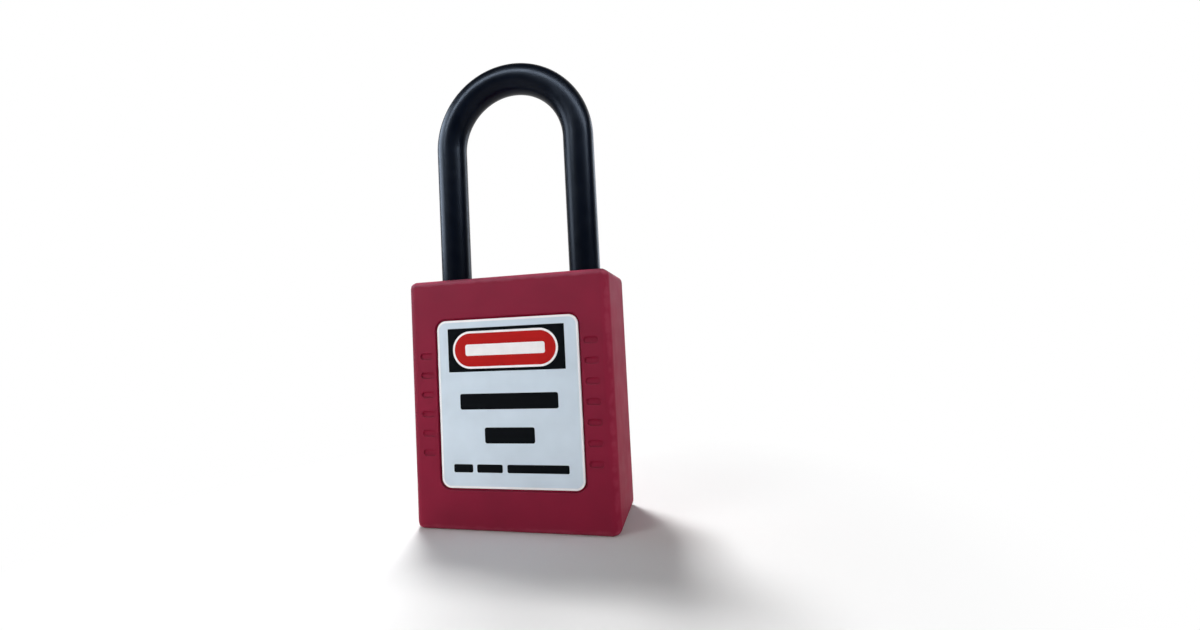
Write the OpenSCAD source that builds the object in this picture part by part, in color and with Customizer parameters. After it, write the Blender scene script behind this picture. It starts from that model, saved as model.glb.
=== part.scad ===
// Lockout padlock: a moulded plastic casing with a label, a round nylon shackle, and a pin
// cylinder whose cam draws two locking balls out of the shackle's legs.
// The origin is at the middle of the underside, +Z is up and the label faces -Y.
// It is drawn shut, with the pin stacks parted at the shear line, as with the right key in.

/* [Casing] */
// Width of the casing
case_w = 39; // [38.5:0.5:46]
// Height of the casing
case_h = 46.5; // [45.5:0.5:56]
// Depth of the casing, front to back
case_d = 18.5; // [17.5:0.5:26]
// Corner radius of the casing seen from the front
front_corner_r = 1.4; // [1:0.1:2.5]
// Radius of the top and bottom edges
rim_edge_r = 1.1; // [0.6:0.1:2]
// Radius of the four upright edges
upright_edge_r = 1.7; // [1:0.1:3]

/* [Label] */
// Width of the label
label_w = 27.4; // [20:0.2:29]
// Height of the label
label_h = 31; // [20:0.5:38]
// Thickness of the label
label_t = 0.35; // [0.2:0.05:0.5]
// Corner radius of the label
label_r = 1.8; // [1:0.1:4]
// Depth of the recesses in the front and back faces
recess_depth = 0.6; // [0.5:0.05:0.9]
// Gap between the label and the rim of its recess
label_gap = 0.35; // [0.1:0.05:0.8]

/* [Grip marks] */
// Marks in the column left of the label
marks_left = 6; // [3:1:7]
// Marks in the column right of the label
marks_right = 7; // [3:1:8]
// Distance between marks
mark_pitch = 3.6; // [2.4:0.2:4]
// Length of one mark
mark_w = 2.6; // [1.5:0.1:3]
// Height of one mark
mark_h = 1.1; // [0.6:0.1:1.6]
// Depth of one mark
mark_depth = 0.3; // [0.15:0.05:0.5]

/* [Shackle] */
// Diameter of the shackle's bar
shackle_d = 6; // [5:0.1:6.4]
// Clear width between the legs
clear_w = 21; // [20.5:0.5:24]
// Clear height above the casing, under the bow
clear_h = 38; // [25:1:76]
// Length of the short leg inside the casing
toe_in = 11; // [10:0.25:12]
// How far the shackle springs up when it opens
shackle_lift = 11.5; // [9:0.25:12.5]
// Diameter of the long leg's neck
neck_d = 4; // [3:0.1:4.4]
// Thickness of the collar at the long leg's end
collar_t = 2.5; // [1.5:0.1:3]
// Height of the stop pin above the underside
stop_pin_z = 26; // [25:0.25:27]
// Diameter of the stop pin
stop_pin_d = 2; // [1.5:0.1:2.4]
// Radial play of a leg in its bore
leg_play = 0.08; // [0.04:0.01:0.1]

/* [Locking balls and cam] */
// Diameter of a locking ball
ball_d = 6; // [5:0.1:6.2]
// Depth of a ball's bite into its leg
ball_bite = 1.1; // [0.7:0.05:1.3]
// Travel of a ball towards the cam
ball_travel = 2.8; // [2:0.1:3]
// Depth of the ball's centre below the casing's top
ball_depth = 5.5; // [5.2:0.1:6]
// Turn of the plug that opens the lock, degrees
open_turn = 90; // [60:5:90]
// Play of a ball in its bore, in its pocket and on the cam
ball_play = 0.06; // [0.03:0.01:0.1]
// Rim of the cam's drum beyond its contact with the balls
drum_rim = 0.2; // [0.1:0.05:0.3]
// Length of the tang that drives the cam
tang_l = 6.8; // [4:0.2:8]
// Thickness of the tang
tang_t = 1.8; // [1.2:0.1:2.4]
// Depth of the tang in the cam
tang_in = 3; // [2:0.1:3.4]
// Diameter of the journal on top of the cam
journal_d = 3.6; // [2.4:0.1:4.4]
// Height of the journal
journal_h = 1.1; // [0.6:0.1:1.2]

/* [Cylinder] */
// Diameter of the housing's barrel
barrel_d = 14.4; // [13.6:0.1:14.8]
// Plastic between the housing and the short leg's bore
web_t = 5.4; // [4.8:0.1:5.8]
// Depth of the housing's face below the casing's underside
housing_sink = 0.5; // [0.2:0.1:0.6]
// Width of the housing's pin block
block_w = 6.4; // [5:0.1:7.4]
// Reach of the pin block from the cylinder's axis
block_reach = 15; // [14.6:0.1:15.6]
// Corner radius of the pin block
block_corner_r = 1.5; // [0.5:0.1:2.2]
// Diameter of the plug
plug_d = 10; // [9.4:0.1:10.4]
// Diameter of the plug's head
head_d = 11.6; // [11.2:0.1:12.4]
// Thickness of the plug's head
head_t = 1.2; // [0.8:0.1:1.8]
// Chamfer round the plug's face
head_chamfer = 0.3; // [0.1:0.05:0.6]
// Width of the keyway
keyway_w = 2.2; // [1.6:0.1:2.6]
// Height of the keyway
keyway_h = 7.8; // [6.4:0.1:8.2]
// Depth of the keyway's side wards
ward_depth = 0.6; // [0.3:0.05:0.8]
// Metal between the keyway and the plug's lower side
keyway_wall = 0.7; // [0.5:0.1:0.9]
// Depth of the keyway beyond the last pin
keyway_tail = 3; // [2:0.1:4]
// Radial play of the plug in the housing
plug_play = 0.05; // [0.02:0.01:0.1]
// Play of the housing in the casing
housing_play = 0.05; // [0.02:0.01:0.1]
// Thickness of the clip behind the housing
clip_t = 0.7; // [0.5:0.05:0.9]
// Depth of the clip's groove in the plug
clip_groove = 1; // [0.6:0.1:1.2]
// Reach of the clip beyond the plug
clip_reach = 0.7; // [0.4:0.1:0.7]

/* [Pins] */
// Diameter of a pin
pin_d = 2.8; // [2.2:0.1:2.9]
// Height of the first pin above the underside
first_pin_z = 5.1; // [4.9:0.1:5.6]
// Distance of the last pin below the housing's top
last_pin_drop = 4.8; // [4.6:0.1:5.4]
// Length of a driver pin
driver_l = 3.6; // [2.8:0.1:4.2]
// Shortest key pin
key_pin_l = 3.2; // [2.8:0.1:3.6]
// Step in length between key pin sizes
key_step = 0.4; // [0.2:0.05:0.45]
// Play of a pin in its chamber
pin_play = 0.05; // [0.02:0.01:0.08]
// Wire diameter of a pin spring
pin_wire_d = 0.35; // [0.25:0.05:0.45]
// Turns of a pin spring
pin_coils = 6; // [4:1:7]
// Thickness of the strip that closes the pin chambers
cover_t = 0.6; // [0.4:0.1:0.8]
// Wall of the pin block beside that strip
cover_wall = 1.2; // [0.8:0.1:1.4]
// Reach of that strip beyond the end chambers
cover_margin = 0.4; // [0.2:0.1:0.5]

/* [Shackle spring] */
// Wire diameter of the shackle spring
spring_wire_d = 0.6; // [0.4:0.05:0.7]
// Turns of the shackle spring
spring_coils = 7; // [5:1:8]
// Height of the spring's seat above the underside
spring_seat_z = 4; // [3:0.25:4.5]

/* [Housing screw] */
// Diameter of the screw
screw_d = 2.5; // [2:0.1:2.6]
// Diameter of the screw's head
screw_head_d = 3.6; // [3.2:0.1:4]
// Height of the screw's head
screw_head_h = 1.4; // [1:0.1:1.8]
// Length of the thread in the pin block
screw_grip = 2.8; // [2:0.1:3]
// Distance of the screw from the cylinder's axis
screw_x = 12.6; // [12.4:0.1:13]

/* [Hidden] */
$fn = 96;
// A cut runs this far past the face that it opens
over = 1;
// Running gap between faces that pass or nearly touch
slip = 0.05;
// Radial gap round a pressed or threaded piece
press = 0.02;

leg_r = shackle_d / 2;
leg_x = clear_w / 2 + leg_r;
bow_z = case_h + clear_h - clear_w / 2;
toe_z = case_h - toe_in;
toe_floor_z = toe_z - 10 * slip;
stop_pin_r = stop_pin_d / 2;
collar_top_z = stop_pin_z - stop_pin_r - slip - shackle_lift;
heel_z = collar_top_z - collar_t;
neck_top_z = stop_pin_z + stop_pin_r + 6 * slip;
toe_chamfer = 0.8;

ball_r = ball_d / 2;
ball_x = leg_x - leg_r + ball_bite - ball_r;
ball_z = case_h - ball_depth;
pocket_r = ball_r + ball_play;
drum_r = ball_x - ball_r + drum_rim;
drum_play = 0.1;
lobe_z = ball_z - ball_r - drum_play;
lobe_top_z = ball_z + ball_r + drum_play;
// The cam's curve starts and ends this many degrees outside the ball's path
cam_lead = 6;
cam_steps = 12;

barrel_r = barrel_d / 2;
plug_r = plug_d / 2;
housing_top_z = toe_floor_z - web_t;
housing_l = housing_top_z - housing_sink;
plug_face_z = housing_sink - 4 * slip;
head_top_z = plug_face_z + head_t;
clip_z = housing_top_z + slip;
clip_groove_r = plug_r - clip_groove;
plug_end_z = clip_z + clip_t + 12 * slip;
drum_z = plug_end_z + 2 * slip;

pin_count = 6;
// Sizes of the six key pins, each this many steps longer than the shortest
key_cuts = [2, 4, 1, 3, 0, 2];
last_pin_z = housing_top_z - last_pin_drop;
pin_pitch = (last_pin_z - first_pin_z) / (pin_count - 1);
pin_r = pin_d / 2;
chamber_r = pin_r + pin_play;
pin_chamfer = 0.2;
key_pin_face_x = plug_r - 4 * slip;
driver_face_x = plug_r + press;
// Depth at which the pin holes end in the plug
pin_hole_x = -0.6;
keyway_end_z = last_pin_z + keyway_tail;
keyway_low_x = keyway_wall - plug_r;
cover_w = block_w - 2 * cover_wall;
cover_x = block_reach - cover_t - slip;
cover_z = first_pin_z - chamber_r - cover_margin;
cover_top_z = last_pin_z + chamber_r + cover_margin;
screw_tip_z = housing_top_z - screw_grip;
screw_head_z = toe_floor_z - screw_head_h;

casing_red = "#7a2032";
nylon_black = "#10151d";
label_white = "#dfe6ea";
brass = "#c8a95e";
nickel = "#b9bcc0";
steel = "#8f949a";

function pin_z(i) = first_pin_z + (i - 1) * pin_pitch;
function key_pin_length(i) = key_pin_l + key_step * key_cuts[i - 1];

// Outline with round corners, centred
module rounded_outline(w, h, r) {
    square([w - 2 * r, h], center = true);
    square([w, h - 2 * r], center = true);
    for (x = [-1, 1], y = [-1, 1])
        translate([x * (w / 2 - r), y * (h / 2 - r)])
            circle(r = r);
}

// Round bar along +X
module bar_x(r, x0, x1, z) {
    translate([x0, 0, z])
        rotate([0, 90, 0])
            cylinder(r = r, h = x1 - x0);
}

// Plate parallel to the front face, from depth y0 to y1
module front_plate(w, h, r, y0, y1) {
    translate([0, y1, case_h / 2])
        rotate([90, 0, 0])
            linear_extrude(height = y1 - y0)
                rounded_outline(w, h, r);
}

module casing_form() {
    intersection() {
        front_plate(case_w, case_h, front_corner_r, -case_d, case_d);
        translate([-case_w, 0, case_h / 2])
            rotate([90, 0, 90])
                linear_extrude(height = 2 * case_w)
                    rounded_outline(case_d, case_h, rim_edge_r);
        translate([0, 0, -over])
            linear_extrude(height = case_h + 2 * over)
                rounded_outline(case_w, case_d, upright_edge_r);
    }
}

// One engraved grip mark, a short bar with round ends
module grip_mark(x, z) {
    translate([x, mark_depth - case_d / 2, z])
        rotate([90, 0, 0])
            linear_extrude(height = mark_depth + over) {
                square([mark_w - mark_h, mark_h], center = true);
                for (side = [-1, 1])
                    translate([side * (mark_w - mark_h) / 2, 0])
                        circle(d = mark_h);
            }
}

module grip_column(x, count) {
    for (i = [0 : count - 1])
        grip_mark(x, case_h / 2 + (i - (count - 1) / 2) * mark_pitch);
}

module leg_bores() {
    bore_r = leg_r + leg_play;
    translate([leg_x, 0, toe_floor_z])
        cylinder(r = bore_r, h = case_h - toe_floor_z + over);
    translate([-leg_x, 0, spring_seat_z])
        cylinder(r = bore_r, h = case_h - spring_seat_z + over);
}

// Barrel and pin block seen from above, grown all round by play
module housing_outline(play) {
    circle(r = barrel_r + play);
    translate([block_reach / 2, 0])
        rounded_outline(block_reach + 2 * play, block_w + 2 * play, block_corner_r + play);
}

module cylinder_cavity() {
    translate([0, 0, -over])
        linear_extrude(height = housing_top_z + slip + over)
            housing_outline(housing_play);
    translate([0, 0, housing_top_z])
        cylinder(r = drum_r + drum_play, h = lobe_top_z + drum_play - housing_top_z);
    translate([0, 0, ball_z])
        cylinder(r = journal_d / 2 + slip, h = lobe_top_z + journal_h + drum_play - ball_z);
}

module screw_bore() {
    translate([screw_x, 0, housing_top_z])
        cylinder(r = screw_d / 2 + 2 * slip, h = toe_floor_z - housing_top_z);
    translate([screw_x, 0, screw_head_z])
        cylinder(r = screw_head_d / 2 + slip, h = screw_head_h + over);
}

// Casing: one moulding, open below for the cylinder and above for the shackle's legs
module casing() {
    recess_w = label_w + 2 * label_gap;
    recess_h = label_h + 2 * label_gap;
    recess_r = label_r + label_gap;
    flat_w = case_w - 2 * upright_edge_r;
    mark_x = (flat_w + recess_w) / 4;
    color(casing_red)
        difference() {
            casing_form();
            front_plate(recess_w, recess_h, recess_r, -case_d, recess_depth - case_d / 2);
            front_plate(recess_w, recess_h, recess_r, case_d / 2 - recess_depth, case_d);
            grip_column(-mark_x, marks_left);
            grip_column(mark_x, marks_right);
            leg_bores();
            cylinder_cavity();
            bar_x(pocket_r, -leg_x, leg_x, ball_z);
            bar_x(stop_pin_r + press, -leg_x, 0, stop_pin_z);
            screw_bore();
        }
}

// Label: a printed plastic plate, stuck in the front recess
module label() {
    back_y = recess_depth - case_d / 2;
    color(label_white)
        front_plate(label_w, label_h, label_r, back_y - label_t, back_y);
}

// Space that a ball sweeps through a leg while the shackle rises
module ball_pocket(side) {
    sweep = norm([ball_travel, shackle_lift]);
    translate([side * ball_x, 0, ball_z])
        rotate([0, side * (180 + atan2(ball_travel, shackle_lift)), 0])
            rotate_extrude() {
                intersection() {
                    circle(r = pocket_r);
                    translate([0, -pocket_r])
                        square([pocket_r, pocket_r]);
                }
                square([pocket_r, sweep]);
            }
}

// Shackle: one round nylon bar, with a neck and a collar on the long leg
module shackle() {
    color(nylon_black)
        difference() {
            union() {
                translate([0, 0, bow_z])
                    rotate([90, 0, 0])
                        rotate_extrude(angle = 180)
                            translate([leg_x, 0])
                                circle(r = leg_r);
                translate([leg_x, 0, toe_z + toe_chamfer])
                    cylinder(r = leg_r, h = bow_z - toe_z - toe_chamfer);
                translate([leg_x, 0, toe_z])
                    cylinder(r1 = leg_r - toe_chamfer, r2 = leg_r, h = toe_chamfer);
                translate([-leg_x, 0, neck_top_z])
                    cylinder(r = leg_r, h = bow_z - neck_top_z);
                translate([-leg_x, 0, heel_z])
                    cylinder(r = neck_d / 2, h = neck_top_z - heel_z);
                translate([-leg_x, 0, heel_z])
                    cylinder(r = leg_r, h = collar_t);
            }
            for (side = [-1, 1])
                ball_pocket(side);
        }
}

// Housing: a round barrel for the plug, with a block for the pins
module cylinder_housing() {
    color(nickel)
        difference() {
            translate([0, 0, housing_sink])
                linear_extrude(height = housing_l)
                    housing_outline(0);
            translate([0, 0, housing_sink - over])
                cylinder(r = plug_r + plug_play, h = housing_l + 2 * over);
            translate([0, 0, housing_sink - over])
                cylinder(r = head_d / 2 + plug_play, h = head_top_z + slip - housing_sink + over);
            for (i = [1 : pin_count])
                bar_x(chamber_r, 0, block_reach, pin_z(i));
            translate([cover_x - slip, -cover_w / 2 - slip, cover_z - slip])
                cube([cover_t + over, cover_w + 2 * slip, cover_top_z - cover_z + 2 * slip]);
            translate([screw_x, 0, screw_tip_z - slip])
                cylinder(r = screw_d / 2 + press, h = screw_grip + over);
        }
}

// Keyway: three offset slots that leave a ward on each side
module keyway() {
    third = keyway_h / 3;
    translate([0, 0, plug_face_z - over])
        linear_extrude(height = keyway_end_z - plug_face_z + over) {
            translate([keyway_low_x, -keyway_w / 2])
                square([third, keyway_w - ward_depth]);
            translate([keyway_low_x + third - ward_depth, ward_depth - keyway_w / 2])
                square([third + 2 * ward_depth, keyway_w - ward_depth]);
            translate([keyway_low_x + 2 * third, -keyway_w / 2])
                square([third, keyway_w - ward_depth]);
        }
}

// Plug: turned with a head, a clip groove and a tang that drives the cam
module plug() {
    color(brass)
        difference() {
            union() {
                translate([0, 0, plug_face_z])
                    cylinder(r1 = head_d / 2 - head_chamfer, r2 = head_d / 2, h = head_chamfer);
                translate([0, 0, plug_face_z + head_chamfer])
                    cylinder(r = head_d / 2, h = head_t - head_chamfer);
                translate([0, 0, head_top_z])
                    cylinder(r = plug_r, h = plug_end_z - head_top_z);
                translate([-tang_l / 2, -tang_t / 2, plug_end_z - over])
                    cube([tang_l, tang_t, tang_in + over]);
            }
            keyway();
            for (i = [1 : pin_count])
                bar_x(chamber_r, pin_hole_x, plug_r + over, pin_z(i));
            translate([0, 0, clip_z - slip])
                difference() {
                    cylinder(r = plug_r + over, h = clip_t + 2 * slip);
                    translate([0, 0, -over])
                        cylinder(r = clip_groove_r, h = clip_t + 2 * over);
                }
        }
}

// Clip: an open ring in the plug's groove, behind the housing
module plug_clip() {
    mouth_w = 1.4 * clip_groove_r;
    color(steel)
        translate([0, 0, clip_z])
            difference() {
                cylinder(r = plug_r + clip_reach, h = clip_t);
                translate([0, 0, -over])
                    cylinder(r = clip_groove_r + press, h = clip_t + 2 * over);
                translate([-2 * plug_r, -mouth_w / 2, -over])
                    cube([2 * plug_r, mouth_w, clip_t + 2 * over]);
            }
}

// Point of the cam's outline that touches the ball after the plug has turned by angle.
// The ball's centre nears the axis at a steady rate, so the outline is that spiral moved
// inwards, along its normal, by the ball's radius and its play.
function cam_point(angle) =
    let (centre = ball_x - ball_travel * angle / open_turn)
    let (rate = ball_travel / (open_turn * PI / 180))
    let (offset = pocket_r / norm([centre, rate]))
    let (out = centre * (1 - offset))
    let (along = -rate * offset)
    [out * cos(angle) - along * sin(angle), out * sin(angle) + along * cos(angle)];

// Cam: a turned drum with two spiral scoops that let the balls in
module locking_cam() {
    curve = [
        for (i = [0 : cam_steps])
            cam_point(i * (open_turn + 2 * cam_lead) / cam_steps - cam_lead)
    ];
    color(steel)
        difference() {
            union() {
                translate([0, 0, drum_z])
                    cylinder(r = drum_r, h = lobe_z - drum_z);
                intersection() {
                    translate([0, 0, lobe_z - over])
                        cylinder(r = drum_r, h = lobe_top_z - lobe_z + over);
                    translate([0, 0, lobe_z - over])
                        linear_extrude(height = lobe_top_z - lobe_z + over)
                            mirror([0, 1])
                                polygon(concat(curve, -curve));
                }
                translate([0, 0, lobe_top_z - over])
                    cylinder(r = journal_d / 2, h = journal_h + over);
            }
            translate([-tang_l / 2 - slip, -tang_t / 2 - slip, drum_z - over])
                cube([tang_l + 2 * slip, tang_t + 2 * slip, tang_in + over]);
        }
}

// Cover: the strip that closes the pin chambers
module chamber_cover() {
    color(brass)
        translate([cover_x, -cover_w / 2, cover_z])
            cube([cover_t, cover_w, cover_top_z - cover_z]);
}

// Screw from the short leg's bore into the pin block, with a hexagon socket
module housing_screw() {
    color(steel)
        difference() {
            union() {
                translate([screw_x, 0, screw_head_z])
                    cylinder(r = screw_head_d / 2, h = screw_head_h);
                translate([screw_x, 0, screw_tip_z])
                    cylinder(r = screw_d / 2, h = screw_head_z - screw_tip_z);
            }
            translate([screw_x, 0, screw_head_z + screw_head_h / 2])
                cylinder(r = screw_d / 2.6, h = screw_head_h, $fn = 6);
        }
}

// Stop pin: holds the long leg's collar when the shackle is up
module stop_pin() {
    color(steel)
        bar_x(stop_pin_r, neck_d / 2 + 2 * slip - leg_x, -barrel_r - 2 * slip, stop_pin_z);
}

module ball(side) {
    color(nickel)
        translate([side * ball_x, 0, ball_z])
            sphere(r = ball_r);
}

// Key pin: pointed towards the key, with its other end at the shear line
module key_pin(i) {
    length = key_pin_length(i);
    point_r = pin_r / 3;
    point_l = pin_r - point_r;
    color(brass)
        translate([key_pin_face_x, 0, pin_z(i)])
            rotate([0, -90, 0])
                rotate_extrude()
                    polygon([
                        [0, 0], [pin_r - pin_chamfer, 0], [pin_r, pin_chamfer],
                        [pin_r, length - point_l], [point_r, length], [0, length]
                    ]);
}

// Driver pin: stands outside the shear line, under its spring
module driver_pin(i) {
    color(nickel)
        translate([driver_face_x, 0, pin_z(i)])
            rotate([0, 90, 0])
                rotate_extrude()
                    polygon([
                        [0, 0], [pin_r - pin_chamfer, 0], [pin_r, pin_chamfer],
                        [pin_r, driver_l - pin_chamfer], [pin_r - pin_chamfer, driver_l], [0, driver_l]
                    ]);
}

// Rise of a coil's wire after some turns, with a closed turn at each end
function coil_rise(turn, turns, height, wire_d) =
    turn < 1 ? turn * wire_d * 1.05 :
    turn > turns - 1 ? height - (turns - turn) * wire_d * 1.05 :
    wire_d * 1.05 + (turn - 1) * (height - 2.1 * wire_d) / (turns - 2);

// Coil spring along +Z from the origin, as one swept wire
module coil_spring(outer_r, wire_d, length, turns, steps, sides) {
    rings = turns * steps;
    mid_r = outer_r - wire_d / 2;
    points = [
        for (i = [0 : rings], j = [0 : sides - 1])
            let (turn = i / steps)
            let (reach = mid_r + wire_d / 2 * cos(360 * j / sides))
            let (rise = wire_d / 2 + coil_rise(turn, turns, length - wire_d, wire_d))
            [
                reach * cos(360 * turn), reach * sin(360 * turn),
                rise + wire_d / 2 * sin(360 * j / sides)
            ]
    ];
    skin = [
        for (i = [0 : rings - 1], j = [0 : sides - 1])
            let (here = i * sides, next = (i + 1) * sides)
            let (k = (j + 1) % sides)
            each [[here + j, here + k, next + k], [here + j, next + k, next + j]]
    ];
    start_cap = [for (j = [sides - 1 : -1 : 0]) j];
    end_cap = [for (j = [0 : sides - 1]) rings * sides + j];
    polyhedron(points, concat(skin, [start_cap], [end_cap]));
}

// Pin spring: pushes a driver pin towards the plug
module pin_spring(i) {
    start_x = driver_face_x + driver_l + slip;
    color(steel)
        translate([start_x, 0, pin_z(i)])
            rotate([0, 90, 0])
                coil_spring(pin_r - 2 * slip, pin_wire_d, cover_x - slip - start_x, pin_coils, 10, 5);
}

// Shackle spring: pushes up the long leg
module shackle_spring() {
    color(steel)
        translate([-leg_x, 0, spring_seat_z + slip])
            coil_spring(
                leg_r - 3 * slip, spring_wire_d, heel_z - spring_seat_z - 2 * slip, spring_coils, 16, 6
            );
}

casing();
label();
shackle();
cylinder_housing();
plug();
plug_clip();
locking_cam();
chamber_cover();
housing_screw();
stop_pin();
ball(-1);  // ball_left
ball(1);  // ball_right
shackle_spring();
for (i = [1 : pin_count]) {
    key_pin(i);
    driver_pin(i);
    pin_spring(i);
}
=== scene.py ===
"""The look of the lockout padlock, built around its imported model."""

import math

import bmesh
import bpy
from mathutils import Matrix, Vector


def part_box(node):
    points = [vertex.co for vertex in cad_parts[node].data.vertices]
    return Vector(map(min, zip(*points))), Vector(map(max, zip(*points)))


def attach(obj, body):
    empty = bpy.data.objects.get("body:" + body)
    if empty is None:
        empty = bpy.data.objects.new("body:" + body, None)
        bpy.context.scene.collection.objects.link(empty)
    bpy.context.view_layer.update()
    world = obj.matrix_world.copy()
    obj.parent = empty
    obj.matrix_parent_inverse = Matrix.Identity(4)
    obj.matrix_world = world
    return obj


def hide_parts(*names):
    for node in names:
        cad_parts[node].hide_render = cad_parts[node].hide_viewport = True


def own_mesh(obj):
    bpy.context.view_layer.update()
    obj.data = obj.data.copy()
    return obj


bl_info = {
    "name": "Lockout padlock",
    "version": (1, 0, 0),
    "blender": (4, 5, 0),
    "location": "View3D > Sidebar > Padlock",
    "description": "Makes the finished pieces of a lockout padlock and a studio to show it in",
    "category": "Object",
}

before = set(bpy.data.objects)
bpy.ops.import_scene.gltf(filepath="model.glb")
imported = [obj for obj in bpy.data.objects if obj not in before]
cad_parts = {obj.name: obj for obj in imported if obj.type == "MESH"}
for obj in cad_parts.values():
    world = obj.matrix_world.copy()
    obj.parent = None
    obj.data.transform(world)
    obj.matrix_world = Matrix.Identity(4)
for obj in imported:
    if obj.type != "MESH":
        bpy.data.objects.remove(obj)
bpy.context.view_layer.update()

MM = 0.001
CASING_LOW, CASING_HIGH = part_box("casing")
LABEL_LOW, LABEL_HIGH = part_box("label")
SHACKLE_LOW, SHACKLE_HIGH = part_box("shackle")
BALL_LOW, BALL_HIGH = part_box("ball_right")
STOP_LOW, STOP_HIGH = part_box("stop_pin")
COIL_LOW, COIL_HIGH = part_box("shackle_spring")
HOUSING_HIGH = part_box("cylinder_housing")[1]
CAM_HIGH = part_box("locking_cam")[1]
SCREW_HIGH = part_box("housing_screw")[1]
PIN_COUNT = 6
BAR_RADIUS = SHACKLE_HIGH.y
LEG_X = SHACKLE_HIGH.x - BAR_RADIUS
BOW_Z = SHACKLE_HIGH.z - BAR_RADIUS - LEG_X

# Sizes inside the lock that no node's box gives
SEAT_PLAY = 0.05 * MM
SCREW_X = 12.6 * MM
SCREW_BORE = 1.85 * MM
DRUM_BORE = 5.9 * MM
DRUM_BORE_TOP = 44.2 * MM
JOURNAL_BORE = 1.85 * MM
JOURNAL_BORE_FOOT = 43 * MM
JOURNAL_PLAY = 0.1 * MM
BALL_RADIUS = 3 * MM
BALL_BORE = 3.06 * MM
BALL_TRAVEL = 2.8 * MM
STOP_RADIUS = 1 * MM
STOP_BORE = 1.02 * MM
BLOCK_BORE_WIDTH = 6.5 * MM
BLOCK_BORE_CORNER = 1.55 * MM
SHACKLE_RISE = 11.5 * MM
COLLAR_HEIGHT = 2.5 * MM
NECK_PLAY = 0.3 * MM
TOE_Z = 35.5 * MM
TOE_CHAMFER = 0.8 * MM

TOUCHING = 1e-6  # points this near are one point
ON_FACE = 0.01 * MM  # an edge this near a face lies on it
SHARP = math.radians(35)  # edges over this angle stay sharp
ALMOST_FLAT = math.radians(0.3)
WEIGHTS = "bevel_weight_edge"
WHITE = (1, 1, 1, 1)

# The printed fields by ink: layer, middle x and z, width, height and corner radius, in mm
PRINTS = {
    "black": (
        (1, -0.2, 33.15, 22.6, 8.1, 0.1),
        (1, 0, 23.6, 18.9, 2.9, 0.4),
        (1, 0, 17.4, 9.6, 2.9, 0.4),
        (1, -9.3, 11.4, 3.8, 1.5, 0.3),
        (1, -4.1, 11.4, 5, 1.5, 0.3),
        (1, 5.1, 11.4, 11.6, 1.5, 0.3),
    ),
    "white": (
        (2, -0.35, 33.12, 20.4, 6.95, 3.47),
        (4, -0.3, 33.1, 15.4, 2.1, 0.4),
    ),
    "red": ((3, -0.35, 33.12, 19.6, 6.15, 3.07),),
}


def linear(text):
    """An sRGB hex colour as the linear red, green and blue that the shader takes."""
    values = [int(text[i : i + 2], 16) / 255 for i in (1, 3, 5)]
    return tuple(v / 12.92 if v <= 0.04045 else ((v + 0.055) / 1.055) ** 2.4 for v in values)


def length(name, description, default):
    """A size, which a user may change, from its millimetres."""
    return bpy.props.FloatProperty(
        name=name, description=description, default=default * MM, min=0, precision=5,
        subtype="DISTANCE", unit="LENGTH",
    )


def number(name, description, default, least=1):
    """A count, which a user may change."""
    return bpy.props.IntProperty(name=name, description=description, default=default, min=least)


def colour(name, owner, default):
    """The colour of something, which a user may change, from its hex value."""
    return bpy.props.FloatVectorProperty(
        name=name, description=f"Colour of {owner}", default=linear(default), min=0, max=1,
        subtype="COLOR",
    )


def power(name, lamp, default):
    """A lamp's power, which a user may change, in watts."""
    return bpy.props.FloatProperty(
        name=name, description=f"Power of {lamp}", default=default, min=0,
        subtype="POWER", unit="POWER",
    )


class PadlockCasing(bpy.types.PropertyGroup):
    rim: length("Rim radius", "Rounding of the front and back edges at top and bottom", 1.1)
    corner: length("Corner radius", "Rounding of the outline's corners from the front", 1.4)
    upright: length("Upright radius", "Rounding of the four upright edges", 1.7)
    ease: length("Eased edge", "Rounding of the recess, the grip marks and the bores", 0.14)
    gap: length("Label gap", "Gap between the label and the edge of its recess", 0.35)
    mark_width: length("Mark width", "Width of a grip mark", 2.6)
    mark_height: length("Mark height", "Height of a grip mark", 1.1)
    mark_depth: length("Mark depth", "Depth of a grip mark", 0.3)
    mark_pitch: length("Mark pitch", "Distance between grip marks", 3.6)
    mark_x: length("Mark offset", "Distance of the grip marks from the middle", 15.9)
    left_marks: number("Left marks", "Grip marks left of the label", 6)
    right_marks: number("Right marks", "Grip marks right of the label", 7)
    leg_play: length("Leg play", "Gap round the shackle's legs", 0.08)
    colour: colour("Plastic", "the moulded plastic", "#841230")
    # The handled edge's colour is partly wear and partly a painted highlight along the rims
    wear_and_highlight: colour("Handled edge", "an edge that hands have polished", "#b04a60")


class PadlockLabel(bpy.types.PropertyGroup):
    radius: length("Corner radius", "Rounding of the label's corners", 1.8)
    ease: length("Eased edge", "Rounding of the label's front edge", 0.1)
    # The white line round the face is a painted highlight of the label's bevelled edge
    rim_highlight_width: length("Rim width", "Width of the white line round the label's face", 0.34)
    film: length("Ink thickness", "Thickness of one printed layer", 0.02)
    white: colour("Face", "the label's face", "#d2e1ee")
    # This colour paints the rim highlight, and is also the white print's ink
    rim: colour("Rim", "the white line and of the white print", "#fbf9fb")
    black: colour("Black ink", "the black print", "#03060a")
    red: colour("Red ink", "the red print", "#b81c1a")


class PadlockShackle(bpy.types.PropertyGroup):
    bar_radius: length("Bar radius", "Radius of the shackle's bar", BAR_RADIUS / MM)
    neck_radius: length("Neck radius", "Radius of the neck above the long leg's collar", 2)
    sides: number("Sides", "Faces round the bar", 64, 12)
    colour: colour("Nylon", "the black nylon", "#020714")


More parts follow.
